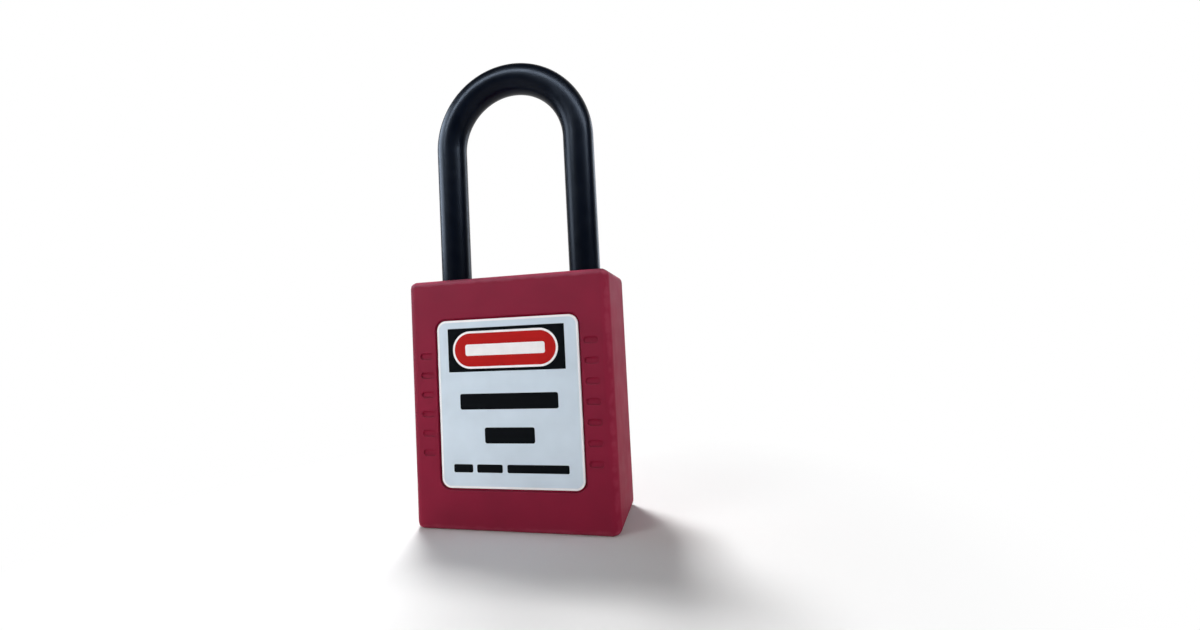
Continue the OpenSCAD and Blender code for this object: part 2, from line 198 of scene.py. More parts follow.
class PadlockSprings(bpy.types.PropertyGroup):
    shackle_wire: length("Shackle wire", "Diameter of the shackle spring's wire", 0.6)
    pin_wire: length("Pin wire", "Diameter of a pin spring's wire", 0.25)
    shackle_turns: number("Shackle turns", "Turns of the shackle spring", 7, 4)
    pin_turns: number("Pin turns", "Turns of a pin spring", 12, 4)
    steps: number("Steps", "Steps of the wire in one turn", 32, 12)
    colour: colour("Spring steel", "the drawn wire", "#a3a5a6")


class PadlockMetals(bpy.types.PropertyGroup):
    ease: length("Eased edge", "Rounding of the edges that were cut", 0.08)
    nickel: colour("Nickel plate", "the plated housing", "#c9c6bf")
    brass: colour("Brass", "the turned brass", "#d8b765")
    zinc: colour("Zinc plate", "the zinc-plated steel", "#b4b8bd")
    steel: colour("Ground steel", "the hardened steel", "#b9bcc0")


class PadlockStudio(bpy.types.PropertyGroup):
    floor: colour("Floor", "the paper sweep", "#dedede")
    cool: colour("Cool light", "the cards that draw the bar's streaks", "#d6e8ff")
    floor_size: length("Floor size", "Radius of the floor", 3000)
    top: power("Top lamp", "the lamp above, behind on the left", 1.8)
    front: power("Front lamp", "the lamp in front, on the left", 0.3)
    side: power("Side lamp", "the low lamp on the right", 0.42)
    bow_left: power("Left bow card", "the long card over the bow's left half", 2.3)
    bow_right: power("Right bow card", "the long card over the bow's right half", 2.5)
    left: power("Left card", "the card beside the long leg", 1.6)
    rim: power("Rim card", "the card behind, on the right", 0.35)
    ambient: bpy.props.FloatProperty(
        name="Room light", description="Strength of the light from the room", default=0.18, min=0
    )


def feed(tree, node, inputs):
    """Sets inputs, by name or number, to values or links them to the sockets that feed them."""
    for name, value in inputs.items():
        if isinstance(value, bpy.types.NodeSocket):
            tree.links.new(value, node.inputs[name])
        else:
            node.inputs[name].default_value = value


def add_node(tree, kind, inputs=None, out=0, **settings):
    """Adds a node with its inputs and settings; gives its output, or itself if out is None."""
    made = tree.nodes.new(kind)
    for name, value in settings.items():
        setattr(made, name, value)
    feed(tree, made, inputs or {})
    return made if out is None else made.outputs[out]


def empty_tree(owner):
    """The node tree of a new material or world, without its first nodes."""
    owner.use_nodes = True
    owner.node_tree.nodes.clear()
    return owner.node_tree


def blank_material(name):
    """A material with a Principled shader, and the piece's own place as pattern coordinates."""
    made = bpy.data.materials.new(name)
    tree = empty_tree(made)
    shader = add_node(tree, "ShaderNodeBsdfPrincipled", out=None)
    add_node(tree, "ShaderNodeOutputMaterial", {"Surface": shader.outputs[0]}, out=None)
    place = add_node(tree, "ShaderNodeTexCoord", out="Object")
    return made, tree, shader, place


def mottle(tree, place, size, low=0, high=1, detail=2.0):
    """A value that wanders between low and high over patches of the given size."""
    # The noise itself stays mostly between 0.3 and 0.7
    patches = add_node(
        tree, "ShaderNodeTexNoise", {"Vector": place, "Scale": 1 / size, "Detail": detail}
    )
    return add_node(tree, "ShaderNodeMapRange", {0: patches, 1: 0.3, 2: 0.7, 3: low, 4: high})


def grained(tree, place, size, depth, strength, under=None):
    """A normal for a grain of the given size and depth, over another normal if there is one."""
    grain = add_node(
        tree, "ShaderNodeTexNoise", {"Vector": place, "Scale": 1 / size, "Detail": 3.0}
    )
    inputs = {"Strength": strength, "Distance": depth, "Height": grain}
    if under is not None:
        inputs["Normal"] = under
    return add_node(tree, "ShaderNodeBump", inputs)


def tinted(tree, factor, low, high):
    """A colour between two others; low may be a socket that gives one."""
    if not isinstance(low, bpy.types.NodeSocket):
        low = (*low, 1)
    return add_node(
        tree, "ShaderNodeMix", {0: factor, 6: low, 7: (*high, 1)}, out=2, data_type="RGBA"
    )


def shaded(rgb, amount):
    """The colour made darker, or lighter where amount is over 1."""
    return tuple(min(1, v * amount) for v in rgb)


def near_face(tree, value, half, reach):
    """1 where a coordinate is at the face, 0 where it is further in than reach."""
    size = add_node(tree, "ShaderNodeMath", {0: value}, operation="ABSOLUTE")
    return add_node(tree, "ShaderNodeMapRange", {0: size, 1: half - reach, 2: half, 3: 0, 4: 1})


def moulded_plastic(settings):
    """Reinforced plastic from a finely eroded mould: soft sheen, faint grain, edges paler from
    wear and a painted highlight.
    """
    made, tree, shader, place = blank_material("moulded_red_plastic")
    half = (CASING_HIGH - CASING_LOW) / 2
    centred = add_node(tree, "ShaderNodeMapping", {"Vector": place, "Location": (0, 0, -half.z)})
    parts = add_node(tree, "ShaderNodeSeparateXYZ", {0: centred}, out=None).outputs
    # A flat is near one face, an edge is near two and a corner near three
    faces = [near_face(tree, parts[i], half[i], 1.3 * MM) for i in range(3)]
    near = faces[0]
    for face in faces[1:]:
        near = add_node(tree, "ShaderNodeMath", {0: near, 1: face}, operation="ADD")
    broken = mottle(tree, place, 2.2 * MM, 1.0, 1.3)
    # The edges are paler partly from wear and partly from a painted highlight along the rims
    wear_and_highlight = add_node(tree, "ShaderNodeMapRange", {0: near, 1: broken, 2: 1.75, 3: 0, 4: 0.75})
    patches = mottle(tree, place, 9 * MM)
    body = tinted(tree, patches, shaded(settings.colour, 0.93), shaded(settings.colour, 1.06))
    # The eroded grain is about 0.1 mm, drawn at 0.3 mm so that it shows
    soft = grained(tree, place, 4 * MM, 0.02 * MM, 0.12)
    feed(tree, shader, {
        "Base Color": tinted(tree, wear_and_highlight, body, settings.wear_and_highlight),
        "Roughness": mottle(tree, place, 4 * MM, 0.62, 0.7),
        "Normal": grained(tree, place, 0.3 * MM, 0.008 * MM, 0.5, soft),
        "IOR": 1.5,
        "Specular IOR Level": 0.11,
    })
    return made


def moulded_nylon(settings):
    """Glass-filled nylon: black and waxy, with a broad soft highlight and a slight orange peel."""
    made, tree, shader, place = blank_material("black_nylon")
    patches = mottle(tree, place, 7 * MM)
    peel = grained(tree, place, 2 * MM, 0.02 * MM, 0.12)
    feed(tree, shader, {
        "Base Color": tinted(
            tree, patches, shaded(settings.colour, 0.85), shaded(settings.colour, 1.15)
        ),
        "Roughness": mottle(tree, place, 2.5 * MM, 0.28, 0.34),
        "Normal": grained(tree, place, 0.6 * MM, 0.003 * MM, 0.12, peel),
        "IOR": 1.53,
        "Specular IOR Level": 0.08,
    })
    return made


def label_film(settings):
    """Polyester film under a clear laminate: an even cool white, a slight gloss, a painted white
    rim highlight.
    """
    made, tree, shader, place = blank_material("label_film")
    middle = (LABEL_LOW + LABEL_HIGH) / 2
    half = (LABEL_HIGH - LABEL_LOW) / 2
    centred = add_node(tree, "ShaderNodeMapping", {"Vector": place, "Location": -middle})
    size = add_node(tree, "ShaderNodeVectorMath", {0: centred}, operation="ABSOLUTE")
    # How far a point is past the corner arcs' centres gives a painted rim highlight that follows
    # the corners
    centres = (half.x - settings.radius, 1, half.z - settings.radius)
    past = add_node(tree, "ShaderNodeVectorMath", {0: size, 1: centres}, operation="SUBTRACT")
    past = add_node(tree, "ShaderNodeVectorMath", {0: past, 1: (0, 0, 0)}, operation="MAXIMUM")
    reach = add_node(tree, "ShaderNodeVectorMath", {0: past}, out="Value", operation="LENGTH")
    inner = settings.radius - 1.4 * settings.rim_highlight_width
    outer = settings.radius - settings.rim_highlight_width
    rim = add_node(tree, "ShaderNodeMapRange", {0: reach, 1: inner, 2: outer, 3: 0, 4: 1})
    patches = mottle(tree, place, 5 * MM)
    body = tinted(tree, patches, shaded(settings.white, 0.96), shaded(settings.white, 1.03))
    feed(tree, shader, {
        "Base Color": tinted(tree, rim, body, settings.rim),
        "Roughness": mottle(tree, place, 3 * MM, 0.3, 0.38),
        "Normal": grained(tree, place, 1.2 * MM, 0.008 * MM, 0.3),
        "IOR": 1.58,
        "Coat Weight": 0.3,
        "Coat Roughness": 0.12,
    })
    return made


def printing_ink(name, rgb):
    """Screen-printed ink: a dense even colour with a faint mesh, less glossy than the film."""
    made, tree, shader, place = blank_material(name)
    patches = mottle(tree, place, 1.5 * MM)
    feed(tree, shader, {
        "Base Color": tinted(tree, patches, shaded(rgb, 0.96), shaded(rgb, 1.02)),
        "Roughness": mottle(tree, place, 1 * MM, 0.38, 0.48),
        # The screen's mesh is about 0.06 mm, drawn at 0.15 mm so that it shows
        "Normal": grained(tree, place, 0.15 * MM, 0.003 * MM, 0.4),
        "IOR": 1.5,
        "Specular IOR Level": 0.06,
    })
    return made


# Each worked metal: which colour it takes, its roughness, the width and depth of its tool's
# lines in mm, how far tarnish darkens it, and whether it was turned about Z
METALS = {
    # Nickel plate over a zinc casting: warm grey, bright, with soft pits from the casting
    "nickel_plated_casting": ("nickel", 0.26, 0.5, 0.004, 0.9, True),
    # Free-cutting brass from the lathe: yellow, bright, with fine rings and a little tarnish
    "turned_brass": ("brass", 0.24, 0.14, 0.006, 0.8, True),
    # Brass pins from an automatic lathe: the same metal, ringed across their own length
    "pin_brass": ("brass", 0.22, 0.12, 0.004, 0.85, False),
    # Nickel silver driver pins: pale, hard and fine
    "pin_nickel_silver": ("nickel", 0.2, 0.12, 0.003, 0.9, False),
    # Zinc-plated steel: cool grey with cloudy patches
    "zinc_plated_steel": ("zinc", 0.32, 0.25, 0.004, 0.8, True),
    # Hardened balls and pins, ground and polished: clean and bright
    "ground_steel": ("steel", 0.12, 0.3, 0.001, 0.95, False),
    # Drawn spring wire: grey with dull drawing lines
    "spring_wire": ("colour", 0.3, 0.2, 0.002, 0.85, False),
}


def worked_metal(name, settings):
    """A metal with the lines of its tool: rings where it was turned, or else across X."""
    tone, roughness, line, depth, dull, turned = METALS[name]
    rgb = getattr(settings, tone)
    made, tree, shader, place = blank_material(name)
    x, y, z = add_node(tree, "ShaderNodeSeparateXYZ", {0: place}, out=None).outputs
    if turned:
        flat = add_node(tree, "ShaderNodeCombineXYZ", {0: x, 1: y})
        out = add_node(tree, "ShaderNodeVectorMath", {0: flat}, out="Value", operation="LENGTH")
        path = add_node(tree, "ShaderNodeMath", {0: out, 1: z}, operation="ADD")
    else:
        path = x
    lines = add_node(
        tree, "ShaderNodeTexNoise", {"W": path, "Scale": 1 / (line * MM), "Detail": 2.0},
        noise_dimensions="1D",
    )
    marks = add_node(
        tree, "ShaderNodeBump", {"Strength": 0.5, "Distance": depth * MM, "Height": lines}
    )
    tarnish = mottle(tree, place, 3 * MM, detail=4.0)
    feed(tree, shader, {
        "Base Color": tinted(tree, tarnish, shaded(rgb, dull), rgb),
        "Roughness": mottle(tree, place, 1.5 * MM, roughness - 0.05, roughness + 0.08),
        "Normal": grained(tree, place, 0.2 * MM, 0.003 * MM, 0.15, marks),
        "Metallic": 1,
    })
    return made


def new_piece(name, data):
    """An object for a mesh or curve, in the scene."""
    made = bpy.data.objects.new(name, data)
    bpy.context.scene.collection.objects.link(made)
    return made


def from_bmesh(name, bm):
    """A piece from closed faces, which are turned outwards."""
    bmesh.ops.recalc_face_normals(bm, faces=bm.faces)
    mesh = bpy.data.meshes.new(name)
    bm.to_mesh(mesh)
    bm.free()
    return new_piece(name, mesh)


def freeze(piece):
    """Turns the piece, with its modifiers, into a plain mesh."""
    graph = bpy.context.evaluated_depsgraph_get()
    mesh = bpy.data.meshes.new_from_object(piece.evaluated_get(graph), depsgraph=graph)
    name = mesh.name = piece.name
    if piece.type == "MESH":
        piece.modifiers.clear()
        piece.data = mesh
        return piece
    bpy.data.objects.remove(piece)
    return new_piece(name, mesh)


def discard(pieces):
    """Removes pieces that were only needed to make another."""
    for piece in pieces:
        bpy.data.objects.remove(piece)


def cut(piece, cutters):
    """Takes the cutters' space out of the piece, and leaves no face without area."""
    for cutter in cutters:
        step = piece.modifiers.new("cut", "BOOLEAN")
        step.operation = "DIFFERENCE"
        step.solver = "EXACT"
        step.object = cutter
    freeze(piece)
    discard(cutters)
    bm = bmesh.new()
    bm.from_mesh(piece.data)
    bmesh.ops.remove_doubles(bm, verts=bm.verts, dist=TOUCHING)
    bmesh.ops.dissolve_degenerate(bm, edges=bm.edges, dist=TOUCHING)
    bm.to_mesh(piece.data)
    bm.free()


def round_weighted(piece, width, segments, clamp=True):
    """Rounds the edges by their weights, and drops the weights."""
    bevel = piece.modifiers.new("round", "BEVEL")
    bevel.limit_method = "WEIGHT"
    bevel.width = width
    bevel.segments = segments
    bevel.use_clamp_overlap = clamp
    freeze(piece)
    layer = piece.data.attributes.get(WEIGHTS)
    if layer:
        piece.data.attributes.remove(layer)


def ease_edges(piece, width, chosen):
    """Rounds the sharp edges for which chosen(middle of the edge) holds, and evens the shading."""
    bm = bmesh.new()
    bm.from_mesh(piece.data)
    weight = bm.edges.layers.float.new(WEIGHTS)
    for edge in bm.edges:
        middle = (edge.verts[0].co + edge.verts[1].co) / 2
        edge[weight] = 1.0 if edge.calc_face_angle(0) > SHARP and chosen(middle) else 0.0
    bm.to_mesh(piece.data)
    bm.free()
    round_weighted(piece, width, 2, clamp=False)
    finish_shading(piece)


def finish_shading(piece):
    """Smooth faces, sharp edges kept sharp and flat faces kept flat."""
    piece.data.shade_smooth()
    piece.data.set_sharp_from_angle(angle=SHARP)
    even = piece.modifiers.new("even", "WEIGHTED_NORMAL")
    even.keep_sharp = True
    even.weight = 80
    freeze(piece)


def rod(name, start, end, radius, sides=96):
    """A closed round bar between two points."""
    start, end = Vector(start), Vector(end)
    along = end - start
    turn = along.to_track_quat("Z", "Y").to_matrix().to_4x4()
    bm = bmesh.new()
    bmesh.ops.create_cone(
        bm, cap_ends=True, segments=sides, radius1=radius, radius2=radius, depth=along.length,
        matrix=Matrix.Translation((start + end) / 2) @ turn,
    )
    return from_bmesh(name, bm)


def shaft(name, x, low, high, radius):
    """A closed round bar that stands at x, between two heights."""
    return rod(name, (x, 0, low), (x, 0, high), radius)


def sphere(name, middle, radius):
    """A closed ball of even faces, listed in the same order in each run."""
    bm = bmesh.new()
    bmesh.ops.create_uvsphere(
        bm, u_segments=64, v_segments=32, radius=radius, matrix=Matrix.Translation(middle)
    )
    ball = from_bmesh(name, bm)
    points = [point.co[:] for point in ball.data.vertices]
    faces = sorted(face.vertices[:] for face in ball.data.polygons)
    ball.data.clear_geometry()
    ball.data.from_pydata(points, [], faces)
    return ball


def rounded_block(name, low, high, radii, segments=8):
    """A box whose edges along X, Y and Z are rounded by three radii."""
    low, high = Vector(low), Vector(high)
    bm = bmesh.new()
    size = Matrix.Diagonal((*(high - low), 1))
    bmesh.ops.create_cube(bm, size=1, matrix=Matrix.Translation((low + high) / 2) @ size)
    weight = bm.edges.layers.float.new(WEIGHTS)
    for edge in bm.edges:
        step = edge.verts[1].co - edge.verts[0].co
        axis = max(range(3), key=lambda i: abs(step[i]))
        edge[weight] = radii[axis] / max(radii)
    piece = from_bmesh(name, bm)
    round_weighted(piece, max(radii), segments)
    return piece


def named_tree(name, inputs):
    """A Geometry Nodes tree with named inputs, and the sockets that give them."""
    tree = bpy.data.node_groups.new(name, "GeometryNodeTree")
    sockets = {
        "length": "NodeSocketFloat", "number": "NodeSocketInt", "place": "NodeSocketVector",
        "finish": "NodeSocketMaterial",
    }
    tree.interface.new_socket("Geometry", in_out="INPUT", socket_type="NodeSocketGeometry")
    for label, kind in inputs.items():
        made = tree.interface.new_socket(label, in_out="INPUT", socket_type=sockets[kind])
        if kind == "length":
            made.subtype = "DISTANCE"
    tree.interface.new_socket("Geometry", in_out="OUTPUT", socket_type="NodeSocketGeometry")
    return tree, add_node(tree, "NodeGroupInput", out=None).outputs


def close_tree(tree, geometry, finish):
    """Ends a tree with its instances made real and its material set."""
    real = add_node(tree, "GeometryNodeRealizeInstances", {0: geometry})
    done = add_node(tree, "GeometryNodeSetMaterial", {0: real, "Material": finish})
    add_node(tree, "NodeGroupOutput", {0: done}, out=None)


def grow(name, tree, values, start=None):
    """Runs a tree with the given inputs and returns its mesh as a plain piece."""
    piece = start or new_piece(name, bpy.data.meshes.new(name))
    step = piece.modifiers.new(name, "NODES")
    step.node_group = tree
    names = {
        item.name: item.identifier
        for item in tree.interface.items_tree
        if item.item_type == "SOCKET" and item.in_out == "INPUT"
    }
    for label, value in values.items():
        step[names[label]] = value
    piece = freeze(piece)
    finish_with(piece, values["Finish"])
    return piece


def plates_tree():
    """A rounded plate that faces the front, or an upright row of like plates."""
    tree, given = named_tree("Rounded plates", {
        "Width": "length", "Height": "length", "Corner radius": "length", "Thickness": "length",
        "Count": "number", "Pitch": "length", "Middle": "place", "Finish": "finish",
    })
    flat = add_node(
        tree, "GeometryNodeCurvePrimitiveQuadrilateral",
        {"Width": given["Width"], "Height": given["Height"]},
    )
    eased = add_node(
        tree, "GeometryNodeFilletCurve",
        {"Curve": flat, "Count": 10, "Radius": given["Corner radius"], "Limit Radius": True},
        mode="POLY",
    )
    face = add_node(tree, "GeometryNodeFillCurve", {0: eased}, mode="NGONS")
    front = add_node(
        tree, "GeometryNodeExtrudeMesh",
        {0: face, "Offset Scale": given["Thickness"], "Individual": False},
    )
    back = add_node(tree, "GeometryNodeFlipFaces", {0: face})
    both = add_node(tree, "GeometryNodeJoinGeometry", {0: front}, out=None)
    tree.links.new(back, both.inputs[0])
    solid = add_node(
        tree, "GeometryNodeMergeByDistance", {0: both.outputs[0], "Distance": TOUCHING}
    )
    upright = add_node(
        tree, "GeometryNodeTransform", {0: solid, "Rotation": (math.radians(90), 0, 0)}
    )
    step = add_node(tree, "ShaderNodeCombineXYZ", {2: given["Pitch"]})
    line = add_node(tree, "GeometryNodeMeshLine", {"Count": given["Count"], "Offset": step})
    row = add_node(tree, "GeometryNodeInstanceOnPoints", {"Points": line, "Instance": upright})
    # The row's middle plate, or the gap at its middle, comes to the given place
    sunk = given["Count"]
    for operation, value in (("SUBTRACT", 1), ("MULTIPLY", given["Pitch"]), ("MULTIPLY", -0.5)):
        sunk = add_node(tree, "ShaderNodeMath", {0: sunk, 1: value}, operation=operation)
    down = add_node(tree, "ShaderNodeCombineXYZ", {2: sunk})
    start = add_node(tree, "ShaderNodeVectorMath", {0: down, 1: given["Middle"]}, operation="ADD")
    placed = add_node(tree, "GeometryNodeTransform", {0: row, "Translation": start})
    close_tree(tree, placed, given["Finish"])
    return tree


def plates(name, tree, finish, middle, width, height, radius, thickness, count=1, pitch=0.0):
    """A rounded plate that grows forwards from its middle, or an upright row of them."""
    return grow(name, tree, {
        "Width": width, "Height": height, "Corner radius": radius, "Thickness": thickness,
        "Count": count, "Pitch": pitch, "Middle": middle, "Finish": finish,
    })


def bar_tree():
    """A round bar along a curve; the curve's own radius narrows it at the neck."""
    tree, given = named_tree(
        "Round bar", {"Bar radius": "length", "Sides": "number", "Finish": "finish"}
    )
    ring = add_node(
        tree, "GeometryNodeCurvePrimitiveCircle",
        {"Resolution": given["Sides"], "Radius": given["Bar radius"]},
    )
    narrow = add_node(tree, "GeometryNodeInputRadius")
    bar = add_node(
        tree, "GeometryNodeCurveToMesh",
        {"Curve": given["Geometry"], "Profile Curve": ring, "Scale": narrow, "Fill Caps": True},
    )
    close_tree(tree, bar, given["Finish"])
    return tree


# A coil's sums: each value, its operation and the two values that it takes. The first and last
# turns lie against their neighbours, and the open turns between share the rest of the height
COIL_SUMS = (
    ("last", "MULTIPLY", "Turns", "Steps"),
    ("points", "ADD", "last", 1),
    ("turn", "DIVIDE", "index", "Steps"),
    ("angle", "MULTIPLY", "turn", 2 * math.pi),
    ("cosine", "COSINE", "angle", 0),
    ("x", "MULTIPLY", "cosine", "Coil radius"),
    ("sine", "SINE", "angle", 0),
    ("y", "MULTIPLY", "sine", "Coil radius"),
    ("closed rise", "MULTIPLY", "Wire radius", 2.1),
    ("closed height", "MULTIPLY", "Wire radius", 6.2),
    ("open height", "SUBTRACT", "Height", "closed height"),
    ("open turns", "SUBTRACT", "Turns", 2),
    ("open rise", "DIVIDE", "open height", "open turns"),
    ("first share", "MINIMUM", "turn", 1),
    ("first", "MULTIPLY", "first share", "closed rise"),
    ("past first", "SUBTRACT", "turn", 1),
    ("started", "MAXIMUM", "past first", 0),
    ("open share", "MINIMUM", "started", "open turns"),
    ("middle", "MULTIPLY", "open share", "open rise"),
    ("past open", "SUBTRACT", "past first", "open turns"),
    ("final share", "MAXIMUM", "past open", 0),
    ("final", "MULTIPLY", "final share", "closed rise"),
    ("lower", "ADD", "first", "middle"),
    ("upper", "ADD", "final", "Wire radius"),
    ("z", "ADD", "lower", "upper"),
)


def coil_tree():
    """A compression spring with closed ends, upright on its seat or tilted over."""
    tree, given = named_tree("Coil spring", {
        "Coil radius": "length", "Wire radius": "length", "Height": "length", "Turns": "number",
        "Steps": "number", "Seat": "place", "Tilt": "place", "Finish": "finish",
    })
    known = {socket.name: socket for socket in given}
    known["index"] = add_node(tree, "GeometryNodeInputIndex")
    for name, operation, a, b in COIL_SUMS:
        known[name] = add_node(
            tree, "ShaderNodeMath", {0: known.get(a, a), 1: known.get(b, b)}, operation=operation
        )
    line = add_node(tree, "GeometryNodeMeshLine", {"Count": known["points"]})
    thread = add_node(tree, "GeometryNodeMeshToCurve", {0: line})
    place = add_node(tree, "ShaderNodeCombineXYZ", {0: known["x"], 1: known["y"], 2: known["z"]})
    path = add_node(tree, "GeometryNodeSetPosition", {0: thread, "Position": place})
    ring = add_node(
        tree, "GeometryNodeCurvePrimitiveCircle",
        {"Resolution": 12, "Radius": given["Wire radius"]},
    )
    wire = add_node(
        tree, "GeometryNodeCurveToMesh", {"Curve": path, "Profile Curve": ring, "Fill Caps": True}
    )
    placed = add_node(
        tree, "GeometryNodeTransform",
        {0: wire, "Translation": given["Seat"], "Rotation": given["Tilt"]},
    )
    close_tree(tree, placed, given["Finish"])
    return tree


def dress(piece, body, slot, *nodes):
    """Hangs a finished piece on its body, in place of the plain nodes."""
    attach(piece, body)
    if nodes:
        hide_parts(*nodes)


def wind(name, node, tree, finish, wire, turns, steps, height, seat, tilt=0.0):
    """A coil of wire from its seat, in place of its plain node."""
    coil = grow(name, tree, {
        "Coil radius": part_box(node)[1].y - wire / 2, "Wire radius": wire / 2, "Height": height,
        "Turns": turns, "Steps": steps, "Seat": seat, "Tilt": (0, tilt, 0), "Finish": finish,
    })
    finish_shading(coil)
    dress(coil, "lock_body", "spring_steel", node)
    return coil


def join(name, pieces):
    """Makes one mesh of like pieces."""
    bm = bmesh.new()
    for piece in pieces:
        bm.from_mesh(piece.data)
    material = pieces[0].data.materials[0]
    mesh = bpy.data.meshes.new(name)
    bm.to_mesh(mesh)
    bm.free()
    mesh.materials.append(material)
    discard(pieces)
    return new_piece(name, mesh)


def finish_with(piece, material):
    """Gives all of a piece one material."""
    piece.data.materials.clear()
    piece.data.materials.append(material)
    for face in piece.data.polygons:
        face.material_index = 0


def casing_bores(leg_play, clear):
    """The space of what the casing holds; a bore that opens into another reaches clear past it."""
    top = CASING_HIGH.z + clear
    housing_top = HOUSING_HIGH.z + SEAT_PLAY
    leg = BAR_RADIUS + leg_play
    ball = BALL_LOW.z + BALL_RADIUS
    stop = STOP_LOW.z + STOP_RADIUS
    below = HOUSING_HIGH.z - clear
    half = BLOCK_BORE_WIDTH / 2
    return [
        shaft("toe_bore", LEG_X, SCREW_HIGH.z, top, leg),
        shaft("heel_bore", -LEG_X, COIL_LOW.z - SEAT_PLAY, top, leg),
        shaft("screw_bore", SCREW_X, below, SCREW_HIGH.z + clear, SCREW_BORE),
        shaft("drum_bore", 0, below, DRUM_BORE_TOP, DRUM_BORE),
        shaft("journal_bore", 0, JOURNAL_BORE_FOOT, CAM_HIGH.z + JOURNAL_PLAY, JOURNAL_BORE),
        rod("ball_bore", (-LEG_X, 0, ball), (LEG_X, 0, ball), BALL_BORE),
        rod("stop_bore", (-LEG_X, 0, stop), (0, 0, stop), STOP_BORE, 48),
        shaft("barrel_bore", 0, -clear, housing_top, HOUSING_HIGH.y + SEAT_PLAY),
        rounded_block(
            "block_bore", (-SEAT_PLAY, -half, -clear),
            (HOUSING_HIGH.x + SEAT_PLAY, half, housing_top), (0, 0, BLOCK_BORE_CORNER), 10,
        ),
    ]


class PADLOCK_OT_casing(bpy.types.Operator):
    """Make the moulded casing with its recesses, grip marks and bores"""

    bl_idname = "padlock.casing"
    bl_label = "Casing"

    def execute(self, context):
        s = context.scene.padlock_casing
        finish = moulded_plastic(s)
        casing = rounded_block(
            "casing_moulding", CASING_LOW, CASING_HIGH, (s.rim, s.corner, s.upright)
        )
        front, back = CASING_LOW.y, CASING_HIGH.y
        middle = CASING_HIGH.z / 2
        depth = LABEL_HIGH.y - front
        clear = 1 * MM
        tree = plates_tree()
        recess = {
            "width": LABEL_HIGH.x - LABEL_LOW.x + 2 * s.gap,
            "height": LABEL_HIGH.z - LABEL_LOW.z + 2 * s.gap,
            "radius": context.scene.padlock_label.radius + s.gap,
            "thickness": depth + clear,
        }
        cutters = [
            plates("front_recess", tree, finish, (0, front + depth, middle), **recess),
            plates("back_recess", tree, finish, (0, back + clear, middle), **recess),
        ]
        # A mark's ends are round, with arcs that just don't meet in a point
        for side, count in ((-1, s.left_marks), (1, s.right_marks)):
            cutters.append(plates(
                "grip_marks", tree, finish, (side * s.mark_x, front + s.mark_depth, middle),
                width=s.mark_width, height=s.mark_height, radius=s.mark_height * 0.499,
                thickness=s.mark_depth + clear, count=count, pitch=s.mark_pitch,
            ))
        cut(casing, cutters + casing_bores(s.leg_play, clear))

        def outside(point):
            near = (
                point.y - front, back - point.y,
                point.z - CASING_LOW.z, CASING_HIGH.z - point.z,
            )
            return min(near) < ON_FACE

        finish_with(casing, finish)
        ease_edges(casing, s.ease, outside)
        dress(casing, "lock_body", "casing_plastic", "casing")
        return {"FINISHED"}


class PADLOCK_OT_label(bpy.types.Operator):
    """Make the label plate and its printed fields"""

    bl_idname = "padlock.label"
    bl_label = "Label"

    def execute(self, context):
        s = context.scene.padlock_label
        face = LABEL_LOW.y
        tree = plates_tree()
        plate = plates(
            "label_plate", tree, label_film(s),
            (0, LABEL_HIGH.y, (LABEL_LOW.z + LABEL_HIGH.z) / 2),
            width=LABEL_HIGH.x - LABEL_LOW.x, height=LABEL_HIGH.z - LABEL_LOW.z,
            radius=s.radius, thickness=LABEL_HIGH.y - face,
        )
        ease_edges(plate, s.ease, lambda point: point.y < face + ON_FACE)
        dress(plate, "lock_body", "label_plate", "label")
        for ink, rgb in (("black", s.black), ("white", s.rim), ("red", s.red)):
            material = printing_ink(f"{ink}_ink", rgb)
            parts = []
            for layer, x, z, width, height, radius in PRINTS[ink]:
                # Half a layer's thickness sinks into what is below
                root = face - (layer - 1) * s.film + s.film / 2
                parts.append(plates(
                    "print", tree, material, (x * MM, root, z * MM), width=width * MM,
                    height=height * MM, radius=radius * MM, thickness=1.5 * s.film,
                ))
            dress(join(f"print_{ink}", parts), "lock_body", "label_plate")
        return {"FINISHED"}


def shackle_points(s):
    """The bar's middle line from heel to toe: x, z and the share of the bar's radius."""
    leg_steps, bow_steps = 12, 96
    heel = SHACKLE_LOW.z
    collar = heel + COLLAR_HEIGHT
    neck = STOP_HIGH.z + NECK_PLAY
    toe = TOE_Z + TOE_CHAMFER
    step, ease = 0.01 * MM, 0.2 * MM
    less = 1 - ease / s.bar_radius
    narrow = s.neck_radius / s.bar_radius
    points = [
        (-LEG_X, z, share) for z, share in (
            (heel, less), (heel + ease, 1), (collar - ease, 1), (collar, less),
            (collar + step, narrow), (neck - step, narrow), (neck, less), (neck + ease, 1),
        )
    ]
    for i in range(1, leg_steps):
        points.append((-LEG_X, neck + ease + (BOW_Z - neck - ease) * i / leg_steps, 1))
    for i in range(bow_steps + 1):
        turn = math.radians(180 - 180 * i / bow_steps)
        points.append((LEG_X * math.cos(turn), BOW_Z + LEG_X * math.sin(turn), 1))
    for i in range(1, leg_steps + 1):
        points.append((LEG_X, BOW_Z + (toe - BOW_Z) * i / leg_steps, 1))
    points.append((LEG_X, TOE_Z, 1 - TOE_CHAMFER / s.bar_radius))
    return points


